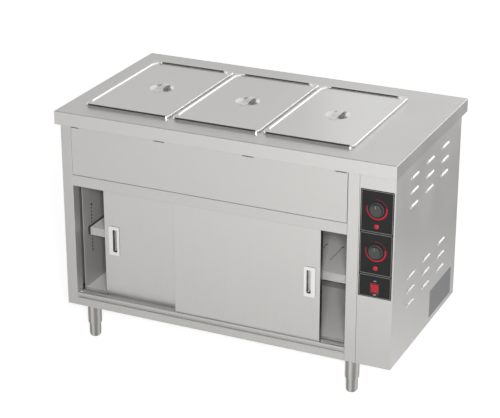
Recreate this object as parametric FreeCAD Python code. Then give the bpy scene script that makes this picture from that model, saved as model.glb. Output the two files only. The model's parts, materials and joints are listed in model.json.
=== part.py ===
import FreeCAD, Part
import math
import os

# A heated serving counter: three lidded food pans sunk in a stainless worktop, a warm plate
# cupboard with two sliding doors below them, and a control box on the right.
# Millimetres. While it is drawn, x runs from the worktop's left edge, y from its front edge
# and z up from the floor. The finished pieces are moved so that the origin lies on the floor
# under the middle of the whole counter.

# Worktop
top_length = 1250
top_depth = 720
top_height = 870
top_edge_height = 48
top_lip = 20
top_sheet = 1.2
top_edge_radius = 2

# Cabinet body
body_front = 4.5
body_left = 21
rear_overhang = 60
box_setback = 1.2
base_height = 143
post_width = 40
post_wall = 1.5
post_radius = 2
box_width = 124.8
box_bend = 2.5
panel_sheet = 1.2
panel_return = 15

# Base, floor and cupboard
front_rail_height = 29
rail_width = 30
rail_wall = 2
plate_thickness = 3
liner_sheet = 1
liner_setback = 47.5
liner_play = 1
floor_front = 60
floor_hem = 12
header_height = 40
header_lip = 4

# Pans, in the common full size, and the heated well under them
pan_rim_x = 325
pan_rim_y = 530
pan_rim_height = 4
pan_rim_radius = 18
pan_gap = 11
pan_left_shift = 4
pan_centre_y = 355
pan_body_x = 303
pan_body_y = 508
pan_body_radius = 56
pan_draft = 8
pan_depth = 150
pan_bend = 14
pan_sheet = 1
pan_play = 3
well_gap = 46
well_sheet = 1.2
well_flange = 12
well_radius = 20
well_bend = 10
ceiling_gap = 31
bar_width = 20
bar_height = 18

# Lids and their handles
lid_height = 6
lid_sheet = 1
lid_margin = 10
lid_step = 5
lid_recess_radius = 40
lid_bend = 3
dish_diameter = 86
dish_depth = 13
strap_width = 22
strap_sheet = 2
strap_foot = 6
strap_rise = 3
strap_overlap = 7

# Sliding doors, their tracks and handles
door_overlap = 60
door_depth = 19
door_sheet = 1
door_inner_depth = 8
front_door_setback = 5
door_gap = 4
door_clearance = 1
door_header_overlap = 7
left_door_open = 104
right_door_open = 92.5
track_sheet = 1.5
track_lip_height = 8
track_lip_depth = 4
track_nose_proud = 0.2
track_riser_setback = 7.5
track_riser_height = 12
track_rear_lip = 4
hang_rail_height = 24
hang_rail_side_play = 1
hang_slot = 8
hanger_inset = 90
hanger_length = 36
hanger_shoe_height = 8
hanger_stem = 4
hanger_stem_length = 24
hanger_foot_height = 3
hanger_play = 0.3
handle_x = 41.5
handle_z = 110
handle_sheet = 1.5
handle_radius = 4
handle_door_inset = 16.5
handle_drop = 149
dish_x = 16
dish_z = 84
dish_y = 15
dish_radius = 3
dish_wall = 1.2
dish_offset = 3
cutout_play = 0.3

# Shelf and the hole rows that hold its clips
shelf_sheet = 1
shelf_hem = 29
shelf_front = 65
shelf_side_gap = 17
shelf_rear_gap = 10
shelf_hole = 9
shelf_hole_pitch = 60
shelf_hole_setback = 212
shelf_hole_side = 129
row_count = 14
row_start = 127
row_pitch = 13.5
row_setback = 60.5
slot_y = 8
slot_z = 7
clip_row = 6
clip_reach = 25
clip_height = 12

# Heater in the cupboard and heater in the well
guard_depth = 180
guard_height = 96
guard_side_gap = 6
guard_slot_x = 34
guard_slot_z = 6
guard_slot_pitch_x = 62
guard_slot_pitch_z = 18
guard_slot_rows = 3
guard_slot_first_z = 24
element_radius = 4.25
element_hole_play = 0.75
element_saddle_height = 14
element_saddle_width = 20
element_side_gap = 70
element_tail = 16
well_element_setback = 60
cupboard_element_setback = 40

# Fascia under the worktop
fascia_side_gap = 1.2
fascia_bottom_gap = 1.5
notch_count = 4
notch_length = 40
notch_height = 4.5
notch_first = 10
notch_last = 23.6

# Control box
louvre_length = 75
louvre_height = 12
louvre_proud = 5
louvre_end = 13
louvre_mouth = 1.25
louvre_columns = 3
louvre_rows = 3
louvre_first_y = 176.5
louvre_pitch_y = 154
louvre_pitch_z = 51.3
louvre_top_drop = 45
louvre_base_rise = 173
overlay_x = 115
overlay_z = 379
overlay_thickness = 0.8
overlay_drop = 46
overlay_radius = 3
dial_drop = 66
dial_pitch = 147.4
lamp_drop = 59.4
switch_drop = 344
knob_radius = 25
knob_grip_radius = 21.5
knob_front_radius = 20.5
knob_skirt = 3.5
knob_height = 15
knob_bend = 2
knob_gap = 0.5
knob_flutes = 12
knob_flute_radius = 3
knob_flute_depth = 0.9
spindle_radius = 3
spindle_flat = 1
spindle_grip = 9
spindle_inside = 12
spindle_play = 0.35
panel_hole_play = 2
thermostat_x = 38
thermostat_y = 30
thermostat_z = 36
thermostat_ear = 9
thermostat_plate = 1.5
lamp_radius = 8
lamp_body_radius = 5
lamp_proud = 3
lamp_rim = 1
lamp_body_length = 24
switch_x = 32
switch_z = 40
switch_rim = 2
switch_wall = 2
switch_body_depth = 26
switch_radius = 2
rocker_x = 25
rocker_half_height = 16.5
rocker_pivot_depth = 2.5
rocker_tip = 5
rocker_back = 6
rocker_play = 0.5
rocker_angle = 8
terminal_x = 70
terminal_y = 28
terminal_z = 24
terminal_radius = 4
terminal_count = 5
terminal_rear_gap = 120
gland_rise = 110
gland_radius = 10
gland_bore = 5.5
gland_hex = 13
gland_hex_length = 7
gland_cap_radius = 11.5
gland_cap_length = 16
gland_cap_bend = 4
gland_nut_length = 5

# Legs, screwed up into the base
leg_side_inset = 74
leg_right_inset = 31
leg_front_inset = 57.5
leg_radius = 25
leg_wall = 1.5
leg_mouth_radius = 22.5
leg_mouth_wall = 1.2
leg_length = 90
leg_taper = 8
leg_head = 3
leg_nut_plate_rise = 51
leg_nut_plate = 6
leg_stud_radius = 6
leg_stud_length = 20
leg_plate_half = 33
leg_nut_flats = 19
leg_nut_height = 10
foot_radius = 21
foot_bend = 15
foot_body_cover = 25
foot_stem_radius = 6
foot_stem_cover = 69
foot_play = 0.4

# What cuts run past the faces that they open, and how closely an edge is looked for
overrun = 6
tolerance = 0.05

# Planes and lines that several pieces share
body_rear = top_depth - rear_overhang
underside = top_height - top_edge_height
cupboard_width = top_length - box_setback - box_width - body_left - 2 * post_width
left_post = (body_left, body_left + post_width)
right_post = (left_post[1] + cupboard_width, left_post[1] + cupboard_width + post_width)
front_post = (body_front, body_front + post_width)
rear_post = (body_rear - post_width, body_rear)
opening_x = (left_post[1], right_post[0])
body_z = (base_height, underside)
box_x = (right_post[1], top_length - box_setback)
box_middle = (box_x[0] + box_x[1]) / 2

pan_pitch = pan_rim_x + pan_gap
pan_count = int(cupboard_width / pan_pitch)
pan_middle_x = (opening_x[0] + opening_x[1]) / 2 - pan_left_shift
pan_first_x = pan_middle_x - (pan_count - 1) * pan_pitch / 2
well_x = (
    pan_first_x - pan_body_x / 2 - pan_play,
    pan_first_x + (pan_count - 1) * pan_pitch + pan_body_x / 2 + pan_play,
)
well_y = (pan_centre_y - pan_body_y / 2 - pan_play, pan_centre_y + pan_body_y / 2 + pan_play)
well_bottom = top_height - pan_depth - well_gap
header_top = well_bottom - ceiling_gap
header_bottom = header_top - header_height

front_rail_top = base_height + front_rail_height
track_floor = front_rail_top + track_riser_height
floor_top = track_floor + track_sheet
floor_under = floor_top - panel_sheet
liner_x = (opening_x[0] + liner_play, opening_x[1] - liner_play)
liner_rear = body_rear - liner_setback

door_width = (cupboard_width + door_overlap) / 2
left_door_x = opening_x[0] + left_door_open
right_door_x = opening_x[1] - right_door_open - door_width
front_door_y = (body_front + front_door_setback, body_front + front_door_setback + door_depth)
rear_door_y = (front_door_y[1] + door_gap, front_door_y[1] + door_gap + door_depth)
door_z = (track_floor + door_clearance, header_bottom + door_header_overlap)

overlay_front = body_front - overlay_thickness
overlay_top = underside - overlay_drop
dial_places = (overlay_top - dial_drop, overlay_top - dial_drop - dial_pitch)
knob_back = overlay_front - knob_gap
panel_back = body_front + panel_sheet

shelf_bottom = floor_top + row_start + clip_row * row_pitch + slot_z / 2
row_places = (floor_front + row_setback, liner_rear - row_setback)

leg_places_x = (body_left + leg_side_inset, right_post[1] - leg_right_inset)
leg_places_y = (body_front + leg_front_inset, body_rear - leg_front_inset)
leg_mouth_z = base_height - leg_length
leg_nut_plate_z = leg_mouth_z + leg_nut_plate_rise
foot_body_height = leg_mouth_z + foot_body_cover
foot_stem_top = leg_mouth_z + foot_stem_cover

# Plan and front planes for outlines
plane_points = {
    "xy": lambda a, b: FreeCAD.Vector(a, b, 0),
    "xz": lambda a, b: FreeCAD.Vector(a, 0, b),
    "yz": lambda a, b: FreeCAD.Vector(0, a, b),
}
along_x = FreeCAD.Vector(1, 0, 0)
along_y = FreeCAD.Vector(0, 1, 0)
along_z = FreeCAD.Vector(0, 0, 1)


def block(x, y, z):
    # a box between pairs of planes
    corner = FreeCAD.Vector(x[0], y[0], z[0])
    return Part.makeBox(x[1] - x[0], y[1] - y[0], z[1] - z[0], corner)


def inset(span, amount):
    return (span[0] + amount, span[1] - amount)


def around(middle, length):
    return (middle - length / 2, middle + length / 2)


def tray(x, y, z, wall, open_sides):
    # folded sheet: a box hollowed to its wall and left open on the sides named, such as "+y"
    inner = []
    for name, span in (("x", x), ("y", y), ("z", z)):
        low = span[0] - overrun if "-" + name in open_sides else span[0] + wall
        high = span[1] + overrun if "+" + name in open_sides else span[1] - wall
        inner.append((low, high))
    return block(x, y, z).cut(block(*inner))


def profile(plane, start, steps):
    # a flat face; a step is the next corner, or a point on the way and an end for a round stretch
    to_point = plane_points[plane]
    here = to_point(*start)
    edges = []
    for step in steps:
        if isinstance(step[0], tuple):
            end = to_point(*step[1])
            edges.append(Part.Arc(here, to_point(*step[0]), end).toShape())
        else:
            end = to_point(*step)
            edges.append(Part.LineSegment(here, end).toShape())
        here = end
    if here.distanceToPoint(to_point(*start)) > tolerance:
        edges.append(Part.LineSegment(here, to_point(*start)).toShape())
    return Part.Face(Part.Wire(edges))


def rounded_wire(x, y, radius, z):
    # a rectangle with quarter-round corners, drawn anticlockwise at height z
    centres = (
        (x[1] - radius, y[1] - radius),
        (x[0] + radius, y[1] - radius),
        (x[0] + radius, y[0] + radius),
        (x[1] - radius, y[0] + radius),
    )
    corners = []
    for quarter, (centre_x, centre_y) in enumerate(centres):
        points = []
        for part in range(3):
            angle = math.radians(90 * quarter + 45 * part)
            across = centre_x + radius * math.cos(angle)
            back = centre_y + radius * math.sin(angle)
            points.append(FreeCAD.Vector(across, back, z))
        corners.append(points)
    edges = []
    for index, points in enumerate(corners):
        following = corners[(index + 1) % len(corners)]
        edges.append(Part.Arc(*points).toShape())
        edges.append(Part.LineSegment(points[-1], following[0]).toShape())
    return Part.Wire(edges)


def rounded_block(x, y, z, radius):
    face = Part.Face(rounded_wire(x, y, radius, z[0]))
    return face.extrude(FreeCAD.Vector(0, 0, z[1] - z[0]))


def front_block(x, y, z, radius):
    # the same prism stood upright, with its corners rounded as seen from the front
    shape = rounded_block(x, z, (-y[1], -y[0]), radius)
    shape.rotate(FreeCAD.Vector(0, 0, 0), along_x, 90)
    return shape


def cylinder(centre, direction, radius, length):
    return Part.makeCylinder(radius, length, FreeCAD.Vector(*centre), direction)


def hexagon(centre, direction, flats, length):
    # a hexagonal prism with its flats this far apart
    corners = []
    for step in range(6):
        angle = math.radians(60 * step)
        reach = flats / math.sqrt(3)
        corners.append(FreeCAD.Vector(reach * math.cos(angle), reach * math.sin(angle), 0))
    corners.append(corners[0])
    shape = Part.Face(Part.makePolygon(corners)).extrude(FreeCAD.Vector(0, 0, length))
    shape.Placement = FreeCAD.Placement(
        FreeCAD.Vector(*centre), FreeCAD.Rotation(along_z, direction)
    )
    return shape


def turned(face, centre, direction):
    # a full turn of a face about the line through centre
    return face.revolve(FreeCAD.Vector(*centre), direction, 360)


def bend(shape, radius, wanted):
    # rounds the edges whose bounding boxes pass the test
    edges = [edge for edge in shape.Edges if wanted(edge.BoundBox)]
    return shape.makeFillet(radius, edges)


def cap_midpoint(radius, rise):
    # halfway along the arc of a sphere's cap: its distance from the axis and its height
    ball = (radius**2 + rise**2) / (2 * rise)
    halfway = math.asin(radius / ball) / 2
    return ball * math.sin(halfway), rise - ball * (1 - math.cos(halfway))


def near(value, target):
    return abs(value - target) < tolerance


def moved(shape, x, y, z):
    copy = shape.copy()
    copy.translate(FreeCAD.Vector(x, y, z))
    return copy


def pan_centres():
    return [pan_first_x + index * pan_pitch for index in range(pan_count)]


def pan_names():
    # one at each end and the others between them
    between = ["middle" if index == 0 else f"middle_{index + 1}" for index in range(pan_count - 2)]
    return ["left", *between, "right"]


# Worktop and what hangs in it


def worktop():
    # a folded top with deep edges, a lip turned in under them and one long opening for the pans
    x, y, z = (0, top_length), (0, top_depth), (underside, top_height)
    shell = bend(block(x, y, z), top_edge_radius, lambda box: near(box.ZMax, top_height))
    hollow = block(inset(x, top_sheet), inset(y, top_sheet), inset(z, top_sheet))
    mouth_z = (underside - overrun, underside + top_edge_height / 2)
    mouth = block(inset(x, top_lip), inset(y, top_lip), mouth_z)
    opening_z = (top_height - top_edge_height / 2, top_height + overrun)
    opening = rounded_block(well_x, well_y, opening_z, well_radius)
    return shell.cut(hollow.fuse(mouth)).cut(opening)


def heated_well():
    # the pressed well that hangs by its flange under the worktop's sheet
    flange_top = top_height - top_sheet
    z = (well_bottom, flange_top)
    outer = rounded_block(
        inset(well_x, -well_sheet), inset(well_y, -well_sheet), z, well_radius + well_sheet
    )
    outer = bend(outer, well_bend + well_sheet, lambda box: near(box.ZMax, well_bottom))
    inner = rounded_block(
        well_x, well_y, (well_bottom + well_sheet, flange_top + overrun), well_radius
    )
    inner = bend(inner, well_bend, lambda box: near(box.ZMax, well_bottom + well_sheet))
    flange = rounded_block(
        inset(well_x, -well_flange),
        inset(well_y, -well_flange),
        (flange_top - well_sheet, flange_top),
        well_radius + well_flange,
    )
    tails = element_tails(well_element_runs(), well_x[1], well_floor_line())
    return outer.fuse(flange).cut(inner).cut(tails)


def pan_support_bars():
    # a flush bar between neighbouring pans, folded down at both sides
    bars = []
    centres = pan_centres()
    for left, right in zip(centres, centres[1:]):
        x = around((left + right) / 2, bar_width)
        bars.append(tray(x, well_y, (top_height - bar_height, top_height), top_sheet, ("-z", "-y", "+y")))
    return Part.makeCompound(bars)


def pan_cavity(shrink, top, bottom):
    # the drafted inside or outside of a pan's body, drawn about the origin
    half_x, half_y = pan_body_x / 2 - shrink, pan_body_y / 2 - shrink
    upper = rounded_wire((-half_x, half_x), (-half_y, half_y), pan_body_radius - shrink, top)
    low_x, low_y = half_x - pan_draft, half_y - pan_draft
    low_radius = pan_body_radius - shrink - pan_draft
    lower = rounded_wire((-low_x, low_x), (-low_y, low_y), low_radius, bottom)
    body = Part.makeLoft([upper, lower], True, True)
    return bend(body, pan_bend - shrink, lambda box: near(box.ZMax, bottom))


def pan():
    # a pressed food pan with drafted walls, a flat rim and the rim's edge turned down
    rim_top = top_height + pan_rim_height
    bottom = rim_top - pan_depth
    rim_x, rim_y = around(0, pan_rim_x), around(0, pan_rim_y)
    rim = rounded_block(rim_x, rim_y, (top_height, rim_top), pan_rim_radius)
    relief = rounded_block(
        inset(rim_x, pan_sheet),
        inset(rim_y, pan_sheet),
        (top_height - overrun, rim_top - pan_sheet),
        pan_rim_radius - pan_sheet,
    )
    outer = pan_cavity(0, rim_top, bottom)
    inner = pan_cavity(pan_sheet, rim_top, bottom + pan_sheet)
    mouth = moved(pan_cavity(pan_sheet, rim_top, bottom + pan_sheet), 0, 0, pan_sheet)
    return rim.cut(relief).fuse(outer).cut(inner).cut(mouth)


def lid():
    # a pressed lid: a raised margin, a sunken panel and a round dish under the handle
    base = top_height + pan_rim_height
    top = base + lid_height
    panel = top - lid_step
    x, y = around(0, pan_rim_x), around(0, pan_rim_y)
    recess_x, recess_y = inset(x, lid_margin), inset(y, lid_margin)
    body = rounded_block(x, y, (base, top), pan_rim_radius)
    recess = rounded_block(recess_x, recess_y, (panel, top + overrun), lid_recess_radius)
    recess = bend(recess, lid_bend, lambda box: near(box.ZMax, panel))
    under = rounded_block(
        inset(x, lid_sheet), inset(y, lid_sheet), (base - overrun, top - lid_sheet),
        pan_rim_radius - lid_sheet,
    )
    kept = rounded_block(
        inset(recess_x, -lid_sheet), inset(recess_y, -lid_sheet), (base - overrun, top),
        lid_recess_radius + lid_sheet,
    )
    under = under.cut(kept)
    under = bend(under, lid_bend - lid_sheet, lambda box: near(box.ZMin, top - lid_sheet))
    shell = body.cut(recess)
    shell = bend(shell, lid_bend, lambda box: near(box.ZMin, top))
    shell = shell.cut(under)
    dish_outer = dish_bowl(panel, dish_depth + lid_sheet, dish_diameter / 2 + lid_sheet)
    dish_inner = dish_bowl(panel, dish_depth, dish_diameter / 2)
    return shell.fuse(dish_outer).cut(dish_inner)


def dish_bowl(rim_z, depth, radius):
    # a cap of a sphere that hangs from the panel's top face
    across, rise = cap_midpoint(radius, depth)
    on_the_way = (across, rim_z - rise)
    face = profile("xz", (0, rim_z), [(0, rim_z - depth), (on_the_way, (radius, rim_z))])
    return turned(face, (0, 0, 0), along_z)


def lid_handle():
    # a strap across the dish, its flat feet welded to the panel on both sides
    panel = top_height + pan_rim_height + lid_height - lid_step
    reach = dish_diameter / 2 + strap_overlap
    flat = reach - strap_foot
    top = panel + strap_sheet
    face = profile(
        "yz",
        (-reach, panel),
        [
            (-flat, panel),
            ((0, panel + strap_rise), (flat, panel)),
            (reach, panel),
            (reach, top),
            (flat, top),
            ((0, top + strap_rise), (-flat, top)),
            (-reach, top),
        ],
    )
    strap = face.extrude(FreeCAD.Vector(strap_width, 0, 0))
    return moved(strap, -strap_width / 2, 0, 0)


# Posts, rails and panels of the body


def post(x, y):
    tube = bend(block(x, y, body_z), post_radius, lambda box: box.ZLength > post_width)
    bore = block(inset(x, post_wall), inset(y, post_wall), (base_height - overrun, underside + overrun))
    return tube.cut(bore)


def header_rail():
    # the folded rail over the doors: a front face, a small lip below and a deep top flange
    face = block(opening_x, (body_front, panel_back), (header_bottom, header_top))
    lip_y = (body_front, body_front + header_lip)
    lip = block(opening_x, lip_y, (header_bottom, header_bottom + panel_sheet))
    flange = block(opening_x, (body_front, floor_front), (header_top - panel_sheet, header_top))
    return face.fuse([lip, flange])


def base_front_rail():
    y = (body_front, front_post[1])
    z = (base_height, front_rail_top)
    rail = tray(opening_x, y, z, panel_sheet, ("-x", "+x", "+y"))
    relief = block(
        inset(opening_x, -overrun), (body_front + panel_return, y[1] + overrun),
        (base_height - overrun, base_height + panel_sheet),
    )
    return rail.cut(relief)


def base_frame():
    # two side rails, a rear rail and a plate over each leg, welded into one frame
    z = (base_height, floor_under)
    side_y = (front_post[1], rear_post[0])
    left_x = (body_left + panel_return, body_left + panel_return + rail_width)
    right_x = (right_post[1] - panel_return - rail_width, right_post[1] - panel_return)
    rear_y = (body_rear - panel_return - rail_width, body_rear - panel_return)
    rear_x = (left_post[1], right_post[0])
    tubes = [block(left_x, side_y, z), block(right_x, side_y, z), block(rear_x, rear_y, z)]
    bores = [
        block(inset(left_x, rail_wall), inset(side_y, -overrun), inset(z, rail_wall)),
        block(inset(right_x, rail_wall), inset(side_y, -overrun), inset(z, rail_wall)),
        block(inset(rear_x, -overrun), inset(rear_y, rail_wall), inset(z, rail_wall)),
    ]
    plates = []
    holes = []
    for x, y in leg_places():
        plate_x, plate_y = around(x, 2 * leg_plate_half), around(y, 2 * leg_plate_half)
        plates.append(block(plate_x, plate_y, (base_height, base_height + plate_thickness)))
        centre = (x, y, base_height - overrun)
        holes.append(cylinder(centre, along_z, leg_stud_radius, rail_width + overrun))
    frame = tubes[0].fuse(tubes[1:]).cut(bores[0].fuse(bores[1:]))
    frame = frame.fuse(plates).removeSplitter()
    taken = [block(x, y, body_z) for x in (left_post, right_post) for y in (front_post, rear_post)]
    taken.append(block((right_x[1], box_x[1]), (0, top_depth), body_z))
    taken.append(block((0, left_x[0]), (0, top_depth), body_z))
    taken.append(block(opening_x, (0, floor_front), (front_rail_top, header_bottom)))
    return frame.cut(taken).cut(stud_holes(holes))


def stud_holes(holes):
    # the leg studs pass only the lower wall of a rail
    low = block((0, top_length), (0, top_depth), (0, base_height + rail_width / 2))
    return low.common(holes[0].fuse(holes[1:]))


def cupboard_floor():
    y = (floor_front, liner_rear)
    hem_top = floor_top - panel_sheet
    plate = block(opening_x, y, (hem_top, floor_top))
    hem = block(
        inset(opening_x, rail_width), (floor_front, floor_front + panel_sheet),
        (floor_top - floor_hem, floor_top),
    )
    return plate.fuse(hem).removeSplitter()


def left_side_panel():
    x = (body_left, body_left + panel_return)
    return tray(x, (front_post[1], rear_post[0]), body_z, panel_sheet, ("+x",))


def partition_panel():
    # the wall between cupboard and control box, with holes for the heaters' tails
    x = (right_post[1] - panel_return, right_post[1])
    panel = tray(x, (front_post[1], rear_post[0]), body_z, panel_sheet, ("-x",))
    panel = panel.cut(element_tails(well_element_runs(), x[0] - overrun, well_floor_line()))
    return panel.cut(element_tails(cupboard_element_runs(), x[0] - overrun, cupboard_floor_line()))


def back_panel():
    y = (body_rear - panel_return, body_rear)
    return tray(opening_x, y, body_z, panel_sheet, ("-y",))


def front_fascia():
    # the deep plate over the doors, with notches along its top edge
    x = inset(opening_x, fascia_side_gap)
    y = (body_front, body_front + panel_return)
    fascia = tray(x, y, (header_top + fascia_bottom_gap, underside), panel_sheet, ("+y",))
    notches = []
    notch_pitch = (x[1] - x[0] - notch_first - notch_last) / (notch_count - 1)
    for index in range(notch_count):
        middle = x[0] + notch_first + index * notch_pitch
        notches.append(block(
            around(middle, notch_length), (body_front - overrun, body_front + panel_return / 2),
            (underside - notch_height, underside + overrun),
        ))
    return fascia.cut(notches[0].fuse(notches[1:]))


# Inside of the cupboard


def slot_row(x):
    # the rows of slots that the shelf clips hook into, through one side wall
    slots = []
    for place in row_places:
        for index in range(row_count):
            middle = floor_top + row_start + index * row_pitch
            slots.append(block(x, around(place, slot_y), around(middle, slot_z)))
    return slots[0].fuse(slots[1:])


def cupboard_liner():
    # the welded lining: ceiling, sides and rear, open at the front and over the floor
    y = (floor_front, liner_rear)
    z = (floor_top, header_top)
    liner = tray(liner_x, y, z, liner_sheet, ("-y", "-z"))
    left = slot_row((liner_x[0] - overrun, liner_x[0] + overrun))
    right = slot_row((liner_x[1] - overrun, liner_x[1] + overrun))
    tails = element_tails(cupboard_element_runs(), liner_x[1] - overrun, cupboard_floor_line())
    return liner.cut(left).cut(right).cut(tails)


def shelf_clips():
    # four hooks, each with a tail in a slot and a ledge under the shelf's hem
    clips = []
    for place in row_places:
        for wall, inward in ((liner_x[0], 1), (liner_x[1], -1)):
            inner_face = wall + inward * liner_sheet
            tail = block(
                sorted((wall - inward * liner_sheet, inner_face)), around(place, slot_y),
                (shelf_bottom - slot_z, shelf_bottom),
            )
            ledge_x = sorted((inner_face, inner_face + inward * clip_reach))
            ledge = block(ledge_x, around(place, slot_y), (shelf_bottom - clip_height, shelf_bottom))
            clips.append(ledge.fuse(tail).removeSplitter())
    return Part.makeCompound(clips)


def shelf():
    # a plain shelf with deep hems; two pairs of holes lie near its ends
    x = inset(liner_x, liner_sheet + shelf_side_gap)
    y = (shelf_front, liner_rear - liner_sheet - shelf_rear_gap)
    board = tray(x, y, (shelf_bottom, shelf_bottom + shelf_hem), shelf_sheet, ("-z",))
    holes = []
    for middle in (x[0] + shelf_hole_side, x[1] - shelf_hole_side):
        for place in (middle - shelf_hole_pitch / 2, middle + shelf_hole_pitch / 2):
            centre = (place, shelf_front + shelf_hole_setback, shelf_bottom)
            holes.append(cylinder(centre, along_z, shelf_hole / 2, shelf_hem + overrun))
    return board.cut(holes[0].fuse(holes[1:]))


# Heating elements: a tube that runs to and fro and ends in the control box


def well_floor_line():
    return well_bottom + well_sheet + element_saddle_height


def cupboard_floor_line():
    return floor_top + element_saddle_height


def well_element_runs():
    first = well_y[0] + well_element_setback
    last = well_y[1] - well_element_setback
    return [first + (last - first) * share for share in (0, 1 / 3, 2 / 3, 1)]


def cupboard_element_runs():
    last = liner_rear - liner_sheet - cupboard_element_setback
    first = liner_rear - guard_depth + cupboard_element_setback
    return [first, last]


def element_tails(runs, start_x, height):
    # round holes for the two ends of an element, from start_x into the control box
    radius = element_radius + element_hole_play
    length = box_x[0] - start_x + overrun
    first = cylinder((start_x - overrun, runs[0], height), along_x, radius, length)
    last = cylinder((start_x - overrun, runs[-1], height), along_x, radius, length)
    return first.fuse(last)


def element(runs, left, right, height, saddle_bottom):
    # hairpin bends join the runs in turn: left, right, left
    near_wall = (left + element_side_gap, right - element_side_gap)
    end_x = box_x[0] + element_tail
    start = FreeCAD.Vector(end_x, runs[0], height)
    edges = []
    for index in range(len(runs) - 1):
        radius = (runs[index + 1] - runs[index]) / 2
        going_left = index % 2 == 0
        turn_x = near_wall[0] + radius if going_left else near_wall[1] - radius
        bulge = -radius if going_left else radius
        turn_start = FreeCAD.Vector(turn_x, runs[index], height)
        turn_middle = FreeCAD.Vector(turn_x + bulge, runs[index] + radius, height)
        turn_end = FreeCAD.Vector(turn_x, runs[index + 1], height)
        edges.append(Part.LineSegment(start, turn_start).toShape())
        edges.append(Part.Arc(turn_start, turn_middle, turn_end).toShape())
        start = turn_end
    edges.append(Part.LineSegment(start, FreeCAD.Vector(end_x, runs[-1], height)).toShape())
    ring = Part.Wire(Part.makeCircle(element_radius, FreeCAD.Vector(end_x, runs[0], height), along_x))
    tube = Part.Wire(edges).makePipeShell([ring], True, False)
    saddles = []
    for middle in (left + (right - left) / 4, right - (right - left) / 4):
        y = (runs[0] - element_saddle_width / 2, runs[-1] + element_saddle_width / 2)
        saddles.append(block(around(middle, element_saddle_width), y, (saddle_bottom, height)))
    return tube.fuse(saddles)


def well_element():
    floor = well_bottom + well_sheet
    return element(well_element_runs(), well_x[0], well_x[1], well_floor_line(), floor)


def cupboard_element():
    return element(cupboard_element_runs(), liner_x[0], liner_x[1], cupboard_floor_line(), floor_top)


def heater_guard():
    # a slotted cover over the cupboard's heater, open below and at the rear
    x = inset(liner_x, liner_sheet + guard_side_gap)
    y = (liner_rear - guard_depth, liner_rear - liner_sheet)
    cover = tray(x, y, (floor_top, floor_top + guard_height), panel_sheet, ("-z", "+y"))
    slots = []
    count = int((x[1] - x[0]) / guard_slot_pitch_x)
    first = (x[0] + x[1]) / 2 - (count - 1) * guard_slot_pitch_x / 2
    for column in range(count):
        for row in range(guard_slot_rows):
            middle_x = first + column * guard_slot_pitch_x
            middle_z = floor_top + guard_slot_first_z + row * guard_slot_pitch_z
            slots.append(block(
                around(middle_x, guard_slot_x), (y[0] - overrun, y[0] + overrun),
                around(middle_z, guard_slot_z),
            ))
    tails = element_tails(cupboard_element_runs(), x[1] - overrun, cupboard_floor_line())
    return cover.cut(slots[0].fuse(slots[1:])).cut(tails)


# Tracks and doors


def top_door_track():
    # two channels side by side under the header's flange, each slotted along its bottom
    top = header_top - panel_sheet
    z = (top - hang_rail_height, top)
    gap_middle = (front_door_y[1] + rear_door_y[0]) / 2
    y = (front_door_y[0] - hang_rail_side_play, rear_door_y[1] + hang_rail_side_play)
    rail = block(opening_x, y, z)
    channels = (
        (y[0] + track_sheet, gap_middle - track_sheet / 2),
        (gap_middle + track_sheet / 2, y[1] - track_sheet),
    )
    cuts = []
    for channel, door_y in zip(channels, (front_door_y, rear_door_y)):
        long_x = inset(opening_x, -overrun)
        cuts.append(block(long_x, channel, inset(z, track_sheet)))
        slot = around((door_y[0] + door_y[1]) / 2, hang_slot)
        cuts.append(block(long_x, slot, (z[0] - overrun, z[0] + hang_rail_height / 2)))
    return rail.cut(cuts[0].fuse(cuts[1:]))


def bottom_door_track():
    # a folded track with a front nose, a rib between the doors and a low lip before the floor
    nose = body_front - track_nose_proud
    lip_back = nose + track_lip_depth
    riser = body_front + track_riser_setback
    under = track_floor - track_sheet
    lip_top = under + track_lip_height + track_sheet
    gap_middle = (front_door_y[1] + rear_door_y[0]) / 2
    rib = around(gap_middle, track_sheet)
    rear = floor_front - track_sheet
    face = profile(
        "yz",
        (riser, front_rail_top),
        [
            (riser + track_sheet, front_rail_top),
            (riser + track_sheet, under),
            (rear, under),
            (rear, front_rail_top),
            (floor_front, front_rail_top),
            (floor_front, track_floor + track_rear_lip),
            (rear, track_floor + track_rear_lip),
            (rear, track_floor),
            (rib[1], track_floor),
            (rib[1], lip_top),
            (rib[0], lip_top),
            (rib[0], track_floor),
            (lip_back, track_floor),
            (lip_back, lip_top),
            (nose, lip_top),
            (nose, under),
            (riser, under),
        ],
    )
    track = face.extrude(FreeCAD.Vector(opening_x[1] - opening_x[0], 0, 0))
    return moved(track, opening_x[0], 0, 0)


def handle_x_range(door_x, side):
    # the plate sits by the door's outer edge: side is -1 on the left door, +1 on the right door
    if side < 0:
        return (door_x + handle_door_inset, door_x + handle_door_inset + handle_x)
    right = door_x + door_width - handle_door_inset
    return (right - handle_x, right)


def dish_x_range(door_x, side, grow):
    plate = handle_x_range(door_x, side)
    middle = (plate[0] + plate[1]) / 2 - side * dish_offset
    return around(middle, dish_x + 2 * grow)


def dish_z_range(grow):
    middle = door_z[1] - handle_drop - handle_z / 2
    return around(middle, dish_z + 2 * grow)


def door_skin(door_x, y, side):
    # the outer shell with returns on all four edges and a cut-out behind the handle plate
    skin = tray((door_x, door_x + door_width), y, door_z, door_sheet, ("+y",))
    grow = dish_wall + cutout_play
    hole = front_block(
        dish_x_range(door_x, side, grow), (y[0] - overrun, y[0] + overrun), dish_z_range(grow),
        dish_radius + grow,
    )
    return skin.cut(hole)


def door_inner(door_x, y):
    # the inner shell, nested in the outer one's returns
    x = inset((door_x, door_x + door_width), door_sheet)
    z = inset(door_z, door_sheet)
    return tray(x, (y[1] - door_inner_depth, y[1]), z, door_sheet, ("-y",))


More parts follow.
